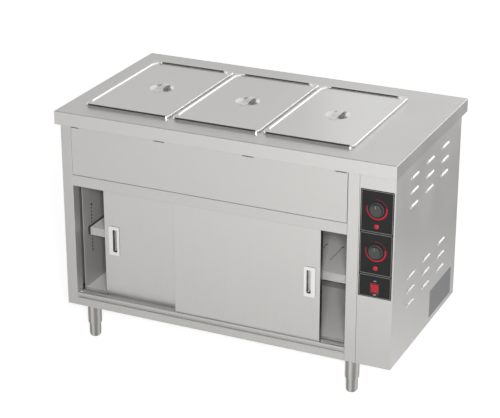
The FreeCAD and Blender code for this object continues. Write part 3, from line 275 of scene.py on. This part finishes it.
skirtDepth = 3.9 * mm            # of the knobs' skirts; the grips in front of them are paler
knobFront = (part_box("well_knob")[1].y - skirtDepth, "3c403f")
materials = {
    # 304 stainless, number 4 polish, grain along the counter: a broad soft sheen; its right-facing end is
    # painted a little lighter, a painted highlight
    "worktop_steel": steel("polishedTop304", "c6c5c3", 0.36, "x", facingPaint=[("cbcac8", (1, 0, 0))]),
    "panel_steel": steel("polishedSheet304", "c5c4c2", 0.38, "z"),
    # the doors' right-facing edges are painted darker: painted shade
    "door_steel": steel("polishedDoor304", "c5c4c2", 0.38, "z", facingPaint=[("8a8988", (1, 0, 0))]),
    "rail_steel": steel("polishedRail304", "c2c1bf", 0.38, "x"),
    # the same sheet where it stands near the picture's edge: more matt, so that it stays pale
    "post_steel": steel("polishedPost304", "bebdbb", 0.38, "z", metal=0.5),
    "end_steel": steel("polishedEnd304", "c2c1bf", 0.4, "z", metal=0.45),
    # the louvred sheet, painted paler than the other panels as painted light; its hoods' tops are painted
    # dark, a painted shade, so that their mouths' lips stand out bright
    "side_steel": steel(
        "polishedSide304", "d7d6d4", 0.37, "z", roundedLitEdges=False, facingPaint=[("565554", (0, 0, 0.7))]),
    # folded rails and tracks: a tighter sheen along the fold
    "track_steel": steel("foldedTrack304", "c2c1be", 0.33, "x"),
    # 2B mill finish: dull and even, as pressed or welded parts leave the works
    "well_steel": steel("millWell304", "a9a8a5", 0.42, "x", roundedLitEdges=False),
    # the liner is painted darker than the floor and shelf of the same sheet, a painted shade; its walls
    # that face the front are painted near white, painted light
    "liner_steel": steel(
        "millLiner304", "b0afae", 0.5, "z", roundedLitEdges=False, metal=0.15, facingPaint=[("faf9f7", (0, -1, 0))]),
    # the cupboard's floor, the same sheet painted much paler: painted light
    "floor_steel": steel("millFloor304", "f0efed", 0.5, "x", metal=0.15),
    # the guard over the cupboard's element: painted darker, a painted shade under the shelf
    "guard_steel": steel("shadedGuard304", "918f8c", 0.5, "x", roundedLitEdges=False, metal=0.15),
    # sliding and shelf parts: rubbed matt by plates and doors
    "track_dull": steel("rolledTrack304", "bebdbb", 0.42, "x", metal=0.7),
    # the shelf is painted paler than the liner, painted light, and its hem that faces the front darker,
    # painted shade
    "shelf_steel": steel(
        "millShelf304", "f7f6f4", 0.5, "x", metal=0.15, facingPaint=[("b9b8b6", (0, -1, 0))]),
    # hidden frame and stamped clips: plain grey, no polish
    "frame_steel": steel("weldedTube304", "a6a5a3", 0.45, "x", roundedLitEdges=False),
    "clip_steel": steel("stampedClip304", "9a9997", 0.4, "y", roundedLitEdges=False),
    # deep drawn and buffed: tighter reflections; the lids' walls that face the front are painted dark, a
    # painted reflection, and those that face right and those that face left are painted white, painted
    # highlights
    "pan_steel": steel("drawnPan304", "c4c3c1", 0.2, "x", softFinish),
    "lid_steel": steel(
        "drawnLid304", "dbdad8", 0.22, "x", softFinish, metal=0.7,
        facingPaint=[("424241", (0, -0.6, 0)), ("ffffff", (0.7, 0, 0)), ("ffffff", (-1.4, 0, 0))]),
    # buffed strap and blasted pull plate: one mirrors, the other stays a pale grey, with painted shade on
    # the walls of its recess that face right and up
    "handle_bright": steel("buffedStrap304", "d6d5d2", 0.16, "y", roundedLitEdges=False, metal=0.7),
    "handle_satin": steel("satinPull304", "e2e1df", 0.45, "z", facingPaint=[("50504f", (0.7, 0, 0.7))]),
    # turned tube: light and dark streaks painted down it, as painted reflections
    "leg_steel": steel("turnedLeg304", "989693", 0.16, "z", roundedLitEdges=False, paintedStreaks=("d0cecb", 6, 36)),
    "spindle_steel": steel("turnedSpindle", "b0afac", 0.3, "y", roundedLitEdges=False),
    # heater sheath: nickel alloy gone brown-grey with heat
    "element_sheath": steel("oxidisedSheath", "6a6560", 0.5, "x", roundedLitEdges=False),
    # zinc plate: a duller, slightly warm grey
    "thermostat_shell": steel("zincPlatedShell", "b5b2a8", 0.4, "z", roundedLitEdges=False),
    # polyester film printed black: even, with a soft low gloss
    "overlay_film": plastic("screenPrintedFilm", "1e1e1f", 0.42, pore=0.5 * mm, texture=0.03, gloss=0.15),
    # moulded nylon and phenolic: dark and dull, the knobs' grips paler than their skirts
    "switch_black": plastic("mouldedNylonBlack", "262626", 0.45),
    "knob_black": plastic("mouldedPhenolic", "2c2e2e", 0.42, gloss=0.35, front=knobFront),
    # clear red polycarbonate: deep and even, a little light inside
    "rocker_red": lensPlastic("rockerPolycarbonate", "b9202c"),
    "lamp_red": lensPlastic("lampPolycarbonate", "c52130"),
    # moulded melamine and natural nylon: cream and off-white, a soft sheen
    "terminal_cream": plastic("mouldedMelamine", "ded8c6", 0.5),
    "gland_grey": plastic("mouldedNylonGrey", "8b8d8f", 0.5),
    "hanger_nylon": plastic("mouldedNylonNatural", "dedcd2", 0.5),
}
print("materials made:", len(materials))

# what differs from the material that the record names for a node
lookOf = {
    "front_left_post": "post_steel",
    "left_side_panel": "end_steel",
    "louvred_side_panel": "side_steel",
    "header_rail": "rail_steel",
    "front_fascia": "rail_steel",
    "base_front_rail": "rail_steel",
    "shelf": "shelf_steel",
    "cupboard_floor": "floor_steel",
    "heater_guard": "guard_steel",
    "bottom_door_track": "track_dull",
}


def dressNodes():
    # each node gets its own look, or else that of the material its record names
    slotOf = {part["node"]: part["material_slot"] for part in frame["record"]["subparts"]}
    for name, node in nodes.items():
        material = materials[lookOf.get(name, slotOf[name])]
        node.data.materials.clear()
        node.data.materials.append(material)
    print("nodes dressed:", len(nodes))


dressNodes()


# Pieces that only show: print on the film, the bare plate, small fasteners and painted shades

weldDistance = 0.001 * mm


def newPiece(name, bm, material, body="root", smooth=False):
    # a finished mesh as an object of the frame, riding on a body
    bmesh.ops.remove_doubles(bm, verts=bm.verts, dist=weldDistance)
    bmesh.ops.recalc_face_normals(bm, faces=bm.faces)
    mesh = bpy.data.meshes.new(name)
    bm.to_mesh(mesh)
    bm.free()
    for polygon in mesh.polygons:
        polygon.use_smooth = smooth
    mesh.materials.append(material)
    piece = bpy.data.objects.new(name, mesh)
    bpy.context.scene.collection.objects.link(piece)
    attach(piece, body)


def raiseFaces(bm, faces, step):
    # thickens flat faces by one step, which leaves a closed solid
    raised = bmesh.ops.extrude_face_region(bm, geom=faces)
    verts = [item for item in raised["geom"] if isinstance(item, bmesh.types.BMVert)]
    bmesh.ops.translate(bm, verts=verts, vec=step)


def addBand(bm, outer, inner, front, closed=True):
    # a flat band of ink between two rows of (x, z) points of equal number
    rows = [[bm.verts.new((x, front, z)) for x, z in row] for row in (outer, inner)]
    count = len(outer)
    faces = []
    for index in range(count if closed else count - 1):
        following = (index + 1) % count
        faces.append(bm.faces.new((
            rows[0][index], rows[0][following], rows[1][following], rows[1][index])))
    raiseFaces(bm, faces, (0, -filmPrint["ink"], 0))


def addBar(bm, middle, size):
    # a box of this size about its middle
    made = bmesh.ops.create_cube(bm, size=1)["verts"]
    bmesh.ops.scale(bm, vec=size, verts=made)
    bmesh.ops.translate(bm, vec=middle, verts=made)


headLook = {
    "arcSteps": 5,               # from a head's rim to its top
    "turnSteps": 20,             # round it
}


def addDome(bm, centre, outward, radius, height):
    # a screw head or rivet: a quarter arc turned about the axis that points out of the sheet
    side = outward.orthogonal().normalized()
    verts = []
    for step in range(headLook["arcSteps"] + 1):
        angle = math.pi / 2 * step / headLook["arcSteps"]
        place = centre + side * radius * math.cos(angle) + outward * height * math.sin(angle)
        verts.append(bm.verts.new(place))
    edges = [bm.edges.new(pair) for pair in zip(verts, verts[1:])]
    bmesh.ops.spin(
        bm, geom=verts + edges, cent=centre, axis=outward, angle=2 * math.pi,
        steps=headLook["turnSteps"], use_merge=True)


def roundedLoop(low, high, radius, steps=5):
    # the points of a rectangle with round corners, from its lower left corner on
    corners = (
        (low[0] + radius, low[1] + radius, 180), (high[0] - radius, low[1] + radius, 270),
        (high[0] - radius, high[1] - radius, 0), (low[0] + radius, high[1] - radius, 90))
    points = []
    for x, z, start in corners:
        for step in range(steps + 1):
            angle = math.radians(start + 90 * step / steps)
            points.append((x + radius * math.cos(angle), z + radius * math.sin(angle)))
    return points


def arcPoints(centre, radii, first, last):
    # points of an arc about a dial, at one radius each, from the first angle to the last
    points = []
    for index, radius in enumerate(radii):
        angle = math.radians(first + (last - first) * index / (len(radii) - 1))
        points.append((centre.x + radius * math.cos(angle), centre.z + radius * math.sin(angle)))
    return points


def middleOf(node):
    # the middle of a node's box
    low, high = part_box(node)
    return (low + high) / 2


filmPrint = {
    "ink": 0.06 * mm,
    "line": 1.4 * mm,
    "margin": 3 * mm,
    "corner": 4 * mm,
    # the three framed fields: their tops and bottoms under the film's top edge
    "fields": ((2.5 * mm, 146 * mm), (151 * mm, 295 * mm), (300 * mm, 376.5 * mm)),
    "lineColour": "7f807e",
}


def printFrames():
    # thin grey frames round the two dials and the switch
    low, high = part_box("control_overlay")
    line, corner = filmPrint["line"], filmPrint["corner"]
    bm = bmesh.new()
    for top, bottom in filmPrint["fields"]:
        near = (low.x + filmPrint["margin"], high.z - bottom)
        far = (high.x - filmPrint["margin"], high.z - top)
        outer = roundedLoop(near, far, corner)
        inner = roundedLoop((near[0] + line, near[1] + line), (far[0] - line, far[1] - line), corner - line)
        addBand(bm, outer, inner, low.y)
    ink = plastic("greyScreenInk", filmPrint["lineColour"], 0.5, gloss=0.2)
    newPiece("film_frames", bm, ink)


knobNames = ("well_knob", "cupboard_knob")
dialPrint = {
    "radius": 36 * mm,
    "thin": 2.4 * mm,            # the red sweep grows from this to the next value
    "thick": 5.4 * mm,
    "growth": 1.5,               # full width is reached after one part in this many of its length
    "sweep": (165, 375),         # degrees, counted from the right and up over the top
    "sweepSteps": 48,
    "rule": (18, 96),            # the thin dull arc along the ticks' outer ends
    "ruleWidth": 1.1 * mm,
    "ticks": (22, 92),
    "tickCount": 6,
    "tickReach": (28.5 * mm, 35 * mm),
    "tickHalf": 1.3,             # half a tick's width, in degrees
    "sweepColour": "a8192d",
    "tickColour": "76202c",
}


def printDials():
    # a red sweep round each knob that thickens with the heat, and the scale's dull ticks
    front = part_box("control_overlay")[0].y
    steps = dialPrint["sweepSteps"]
    sweeps, ticks = bmesh.new(), bmesh.new()
    for knob in knobNames:
        centre = middleOf(knob)
        rim = [dialPrint["radius"]] * (steps + 1)
        inner = []
        for step in range(steps + 1):
            grown = min(1, step / steps * dialPrint["growth"])
            width = dialPrint["thin"] + (dialPrint["thick"] - dialPrint["thin"]) * grown
            inner.append(dialPrint["radius"] - width)
        rows = [arcPoints(centre, radii, *dialPrint["sweep"]) for radii in (rim, inner)]
        addBand(sweeps, *rows, front, closed=False)
        within = [radius - dialPrint["ruleWidth"] for radius in rim]
        rows = [arcPoints(centre, radii, *dialPrint["rule"]) for radii in (rim, within)]
        addBand(ticks, *rows, front, closed=False)
        first, last = dialPrint["ticks"]
        for index in range(dialPrint["tickCount"]):
            angle = first + (last - first) * index / (dialPrint["tickCount"] - 1)
            span = (angle - dialPrint["tickHalf"], angle + dialPrint["tickHalf"])
            rows = [arcPoints(centre, [reach] * 3, *span) for reach in reversed(dialPrint["tickReach"])]
            addBand(ticks, *rows, front, closed=False)
    newPiece("dial_sweeps", sweeps, plastic("redScreenInk", dialPrint["sweepColour"], 0.45, gloss=0.2))
    newPiece("dial_ticks", ticks, plastic("dullScreenInk", dialPrint["tickColour"], 0.5, gloss=0.2))


switchMarks = {
    "size": 6.2 * mm,
    "gap": 1.6 * mm,             # from the switch's rim to the nearer edge of each word
    "colour": "c9cac8",
}


def printSwitchMarks():
    # plain ON and OFF above and below the switch
    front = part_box("control_overlay")[0].y
    low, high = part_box("switch_housing")
    ink = plastic("whiteScreenInk", switchMarks["colour"], 0.5, gloss=0.2)
    rows = (("ON", high.z + switchMarks["gap"], "BOTTOM"), ("OFF", low.z - switchMarks["gap"], "TOP"))
    for word, height, side in rows:
        curve = bpy.data.curves.new("mark" + word, "FONT")
        curve.body = word
        curve.size = switchMarks["size"]
        curve.align_x = "CENTER"
        curve.align_y = side
        curve.extrude = filmPrint["ink"]
        letters = bpy.data.objects.new("mark" + word, curve)
        bm = bmesh.new()
        bm.from_mesh(bpy.data.meshes.new_from_object(letters))
        bpy.data.objects.remove(letters)
        upright = Matrix.Rotation(math.radians(90), 4, "X")
        onFilm = Matrix.Translation((middleOf("switch_housing").x, front, height))
        bm.transform(onFilm @ upright)
        newPiece("mark_" + word.lower(), bm, ink)


knobMark = {
    "width": 2.2 * mm,
    "length": 11 * mm,
    "depth": 0.3 * mm,
    "softEdge": 0.1 * mm,
    "fromRim": 6.5 * mm,         # from the skirt's rim to the line's outer end
    "colour": "767977",
}


def markKnobs():
    # the pointer line filled in on each knob's face
    paint = plastic("pointerPaint", knobMark["colour"], 0.5, gloss=0.3)
    size = (knobMark["width"], knobMark["depth"], knobMark["length"])
    for knob in knobNames:
        low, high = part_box(knob)
        bm = bmesh.new()
        addBar(bm, (middleOf(knob).x, low.y, high.z - knobMark["fromRim"] - knobMark["length"] / 2), size)
        bmesh.ops.bevel(
            bm, geom=bm.edges[:], offset=knobMark["softEdge"], offset_type="OFFSET", segments=2,
            profile=0.5, affect="EDGES", material=-1)
        newPiece(knob + "_pointer", bm, paint, body=knob)


barePlate = {
    # low on the side, towards the rear; the panel's own rear and bottom edges are its datums
    "fromRear": 42 * mm,
    "length": 227 * mm,
    "rise": 19.5 * mm,
    "height": 102.5 * mm,
    "thickness": 0.6 * mm,
    "corner": 4 * mm,
    "plainTop": 1 * mm,          # no louvre reaches it, so it tells where the sheet's outer face is
    "colour": "868588",
}


def addBarePlate():
    # the rating plate, with nothing on it
    low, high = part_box("louvred_side_panel")
    corners = nodes["louvred_side_panel"].data.vertices
    face = max(vertex.co.x for vertex in corners if vertex.co.z > high.z - barePlate["plainTop"])
    rear, bottom = high.y - barePlate["fromRear"], low.z + barePlate["rise"]
    loop = roundedLoop(
        (rear - barePlate["length"], bottom), (rear, bottom + barePlate["height"]), barePlate["corner"])
    bm = bmesh.new()
    plate = bm.faces.new([bm.verts.new((face, y, z)) for y, z in loop])
    raiseFaces(bm, [plate], (barePlate["thickness"], 0, 0))
    foil = plastic("bareFoilPlate", barePlate["colour"], 0.4, texture=0.02, gloss=0.3)
    newPiece("bare_plate", bm, foil)


linerBoltsAndShades = {
    "radius": 5 * mm,
    "height": 3.5 * mm,
    "sheet": 1 * mm,
    "setback": 60.5 * mm,        # of the slot rows, from the liner's front and rear
    "slotRise": 127 * mm,        # of the lowest slot over the liner's foot
    "slotPitch": 13.5 * mm,
    "slotCount": 14,
    "slotShade": (0.6 * mm, 7.8 * mm, 6.8 * mm),
    "shadeDrop": 0.5 * mm,       # of its middle under the lining's face
    "colour": "2b2b2c",
}
rearScrews = {
    "radius": 4 * mm,
    "height": 2 * mm,
    "inset": 14 * mm,            # from the sheet's edges
    "count": 6,
    "boxCount": 2,
    "recess": (0.8 * mm, 0.15 * mm, 4 * mm),
}


def addLinerBoltsAndShades():
    # a dark bolt head in the top slot of each row that carries the shelf, and a dark plate in every
    # slot: painted shade in place of the dark space behind the lining
    low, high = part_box("cupboard_liner")
    lowest, pitch = low.z + linerBoltsAndShades["slotRise"], linerBoltsAndShades["slotPitch"]
    heights = [lowest + index * pitch for index in range(linerBoltsAndShades["slotCount"])]
    bm = bmesh.new()
    for face, inward in ((low.x + linerBoltsAndShades["sheet"], 1), (high.x - linerBoltsAndShades["sheet"], -1)):
        for depth in (low.y + linerBoltsAndShades["setback"], high.y - linerBoltsAndShades["setback"]):
            place = Vector((face, depth, heights[-1]))
            addDome(bm, place, Vector((inward, 0, 0)), linerBoltsAndShades["radius"], linerBoltsAndShades["height"])
            for z in heights:
                addBar(bm, (face - inward * linerBoltsAndShades["shadeDrop"], depth, z), linerBoltsAndShades["slotShade"])
    black = plastic("blackenedBoltAndShade", linerBoltsAndShades["colour"], 0.45)
    newPiece("liner_bolts_and_slot_shades", bm, black, smooth=True)


def addRearScrews():
    # cross-head screws along the top and foot of the two rear sheets
    heads, recesses = bmesh.new(), bmesh.new()
    backward = Vector((0, 1, 0))
    across, deep, tall = rearScrews["recess"]
    for node, count in (("back_panel", rearScrews["count"]), ("control_box_back", rearScrews["boxCount"])):
        low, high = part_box(node)
        first, last = low.x + rearScrews["inset"], high.x - rearScrews["inset"]
        for index in range(count):
            x = first + (last - first) * index / (count - 1)
            for z in (low.z + rearScrews["inset"], high.z - rearScrews["inset"]):
                addDome(heads, Vector((x, high.y, z)), backward, rearScrews["radius"], rearScrews["height"])
                top = (x, high.y + rearScrews["height"], z)
                # each cross recess is two dark bars on the head: painted shade in place of the hollow
                addBar(recesses, top, (across, deep, tall))
                addBar(recesses, top, (tall, deep, across))
    newPiece("rear_screws", heads, materials["spindle_steel"], smooth=True)
    newPiece("rear_screw_recesses", recesses, materials["switch_black"])


shelfShades = {
    "fromSide": 129 * mm,        # of the middle of each pair of holes, from the shelf's ends
    "pitch": 60 * mm,
    "setback": 212 * mm,         # of the holes, from the shelf's front
    "size": (1.8 * mm, 115 * mm, 0.1 * mm),
    "holeRadius": 4.4 * mm,      # of the painted shade that closes each hole to the eye
    "holeDrop": 0.1 * mm,
    "endShade": 9 * mm,          # width of the painted shade along the shelf's left end
    "skin": 0.1 * mm,
    "colour": "3a3a39",
}


def addShelfShades():
    # a fine dark line that runs forward from each hole of the shelf, a dark disc in each hole and a strip
    # along its left end: all painted shade
    low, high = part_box("shelf")
    bm = bmesh.new()
    across, skin = shelfShades["endShade"], shelfShades["skin"]
    x = low.x + across / 2
    addBar(bm, (x, (low.y + high.y) / 2, high.z), (across, high.y - low.y, skin))
    addBar(bm, (x, low.y, (low.z + high.z) / 2), (across, skin, high.z - low.z))
    for middle in (low.x + shelfShades["fromSide"], high.x - shelfShades["fromSide"]):
        for side in (-1, 1):
            x = middle + side * shelfShades["pitch"] / 2
            y = low.y + shelfShades["setback"] - shelfShades["size"][1] / 2
            addBar(bm, (x, y, high.z), shelfShades["size"])
            hole = Vector((x, low.y + shelfShades["setback"], high.z - shelfShades["holeDrop"]))
            addDome(bm, hole, Vector((0, 0, 1)), shelfShades["holeRadius"], shelfShades["holeDrop"])
    dark = plastic("paintedShelfShade", shelfShades["colour"], 0.6, gloss=0.1)
    newPiece("shelf_shades", bm, dark, body="shelf")


printFrames()
printDials()
printSwitchMarks()
markKnobs()
addBarePlate()
addLinerBoltsAndShades()
addRearScrews()
addShelfShades()
print("print, plate and fasteners added")


# Studio: pale floor, soft panels and the camera

studio = {
    "floorSize": 30.0,
    "floorNear": "e6e6e5",       # in front of the counter
    "floorFar": "c6c6c5",        # and behind it, where its light falls off
    "fadeFrom": -2.2,            # the y at which the floor starts to darken, and where that ends
    "fadeTo": 1.6,
    "floorGlow": 0.6,            # for what the camera and the metal see, so that the floor reads white
    "farGlow": 0.8,              # the camera's glow behind the counter, which makes up for the darker paint
    "farMetalGlow": 0.1,
    "worldGrey": "9c9c9c",       # what the air of the room sends on to matt surfaces
}
softPanels = {
    # place, aim, width, height, power in watts
    "frontPanel": ((2.05, -4.5, 2.55), (0.1, 0, 0.4), 0.9, 0.9, 190),
    "rearPanel": ((2.8, 4.2, 1.0), (0.5, 0, 0.6), 3.6, 1.6, 42),
}
greyCards = {
    # place, aim, width, height, colour: what steel sees of the room's unlit sides
    "leftCard": ((-3.35, 4.25, 2.8), (-0.2, 0, 0.9), 3.5, 1.9, "dedede"),
    "ceilingCard": ((-1.8, -1.8, 4.2), (-1.8, -1.8, 0), 4.4, 6.4, "161616"),
}
viewpoint = {
    "place": (2.2779, -5.0595, 2.8232),
    "pitch": 67.1,               # degrees up from straight down
    "yaw": 24.7,                 # degrees turned to the left from straight on
    "lens": 122.17,
    "sensor": 36,
}


def flatSheet(name, width, height, material):
    # a sheet of the studio, flat at the origin
    mesh = bpy.data.meshes.new(name)
    bm = bmesh.new()
    bmesh.ops.create_grid(bm, x_segments=1, y_segments=1, size=0.5)
    bmesh.ops.scale(bm, vec=(width, height, 1), verts=bm.verts)
    bm.to_mesh(mesh)
    bm.free()
    mesh.materials.append(material)
    sheet = bpy.data.objects.new(name, mesh)
    bpy.context.scene.collection.objects.link(sheet)
    return sheet


def floorPaint():
    # matt paint that keeps the shadow, with a glow that only the camera and the metal see
    material, tree = newMaterial("paintedFloor")
    rays = addNode(tree, "ShaderNodeLightPath")
    place = addNode(tree, "ShaderNodeTexCoord").outputs["Object"]
    depth = addNode(tree, "ShaderNodeSeparateXYZ", {"Vector": place}).outputs["Y"]
    fade = addNode(tree, "ShaderNodeMapRange", {
        "Value": depth, "From Min": studio["fadeFrom"], "From Max": studio["fadeTo"]})
    colour = addNode(tree, "ShaderNodeMix", {
        "Factor": fade.outputs[0], "A": linear(studio["floorNear"]), "B": linear(studio["floorFar"])},
        data_type="RGBA")
    cameraGlow = addNode(tree, "ShaderNodeMapRange", {
        "Value": fade.outputs[0], "To Min": studio["floorGlow"], "To Max": studio["farGlow"]})
    metalGlow = addNode(tree, "ShaderNodeMapRange", {
        "Value": fade.outputs[0], "To Min": studio["floorGlow"], "To Max": studio["farMetalGlow"]})
    metal = addNode(tree, "ShaderNodeMath", {
        0: rays.outputs["Is Glossy Ray"], 1: rays.outputs["Is Transmission Ray"]}, operation="MAXIMUM")
    metalShare = addNode(tree, "ShaderNodeMath", {
        0: metal.outputs[0], 1: metalGlow.outputs[0]}, operation="MULTIPLY")
    cameraShare = addNode(tree, "ShaderNodeMath", {
        0: rays.outputs["Is Camera Ray"], 1: cameraGlow.outputs[0]}, operation="MULTIPLY")
    strength = addNode(tree, "ShaderNodeMath", {0: metalShare.outputs[0], 1: cameraShare.outputs[0]})
    paint = addNode(tree, "ShaderNodeBsdfDiffuse", {"Color": colour.outputs["Result"]})
    glow = addNode(tree, "ShaderNodeEmission", {"Color": (1, 1, 1, 1), "Strength": strength.outputs[0]})
    both = addNode(tree, "ShaderNodeAddShader", {0: paint.outputs[0], 1: glow.outputs[0]})
    finishMaterial(tree, both)
    return material


def buildFloor():
    floor = flatSheet("floor", studio["floorSize"], studio["floorSize"], floorPaint())


def buildWorld():
    # white for the camera and for what metal and glass show, grey for the light on the object
    world = bpy.data.worlds.new("studioWorld")
    bpy.context.scene.world = world
    world.use_nodes = True
    tree = world.node_tree
    tree.nodes.clear()
    rays = addNode(tree, "ShaderNodeLightPath")
    seen = rays.outputs["Is Camera Ray"]
    for kind in ("Is Glossy Ray", "Is Transmission Ray"):
        either = addNode(tree, "ShaderNodeMath", {0: seen, 1: rays.outputs[kind]}, operation="MAXIMUM")
        seen = either.outputs[0]
    grey = addNode(tree, "ShaderNodeBackground", {"Color": linear(studio["worldGrey"]), "Strength": 1})
    white = addNode(tree, "ShaderNodeBackground", {"Color": (1, 1, 1, 1), "Strength": 1})
    mix = addNode(tree, "ShaderNodeMixShader", {"Fac": seen, 1: grey.outputs[0], 2: white.outputs[0]})
    addNode(tree, "ShaderNodeOutputWorld", {"Surface": mix.outputs[0]})


def aimAt(thing, target):
    # turns a lamp or a card towards a place
    direction = Vector(target) - thing.location
    thing.rotation_euler = direction.to_track_quat("-Z", "Y").to_euler()


def buildLights():
    # soft panels, one in front and one low behind on the right
    for name, (place, aim, width, height, power) in softPanels.items():
        light = bpy.data.lights.new(name, "AREA")
        light.shape = "RECTANGLE"
        light.size, light.size_y = width, height
        light.energy = power
        lamp = bpy.data.objects.new(name, light)
        bpy.context.scene.collection.objects.link(lamp)
        lamp.location = place
        aimAt(lamp, aim)


def buildCards():
    # a pale and a dark card out of the picture, which the steel reflects softly
    for name, (place, aim, width, height, colour) in greyCards.items():
        material, tree = newMaterial(name + "Cloth")
        finishMaterial(tree, addNode(tree, "ShaderNodeEmission", {"Color": linear(colour), "Strength": 1}))
        card = flatSheet(name, width, height, material)
        card.location = place
        card.visible_camera = False          # so that it never stands in the way of another view
        aimAt(card, aim)


def buildCamera():
    # the photo's viewpoint, worked out from the picture's perspective
    data = bpy.data.cameras.new("photoCamera")
    data.lens = viewpoint["lens"]
    data.sensor_width = viewpoint["sensor"]
    data.sensor_fit = "HORIZONTAL"
    camera = bpy.data.objects.new("photoCamera", data)
    bpy.context.scene.collection.objects.link(camera)
    camera.location = viewpoint["place"]
    camera.rotation_euler = (math.radians(viewpoint["pitch"]), 0, math.radians(viewpoint["yaw"]))
    bpy.context.scene.camera = camera


buildFloor()
buildWorld()
buildLights()
buildCards()
buildCamera()
bpy.context.scene.view_settings.view_transform = "Standard"
print("studio ready")
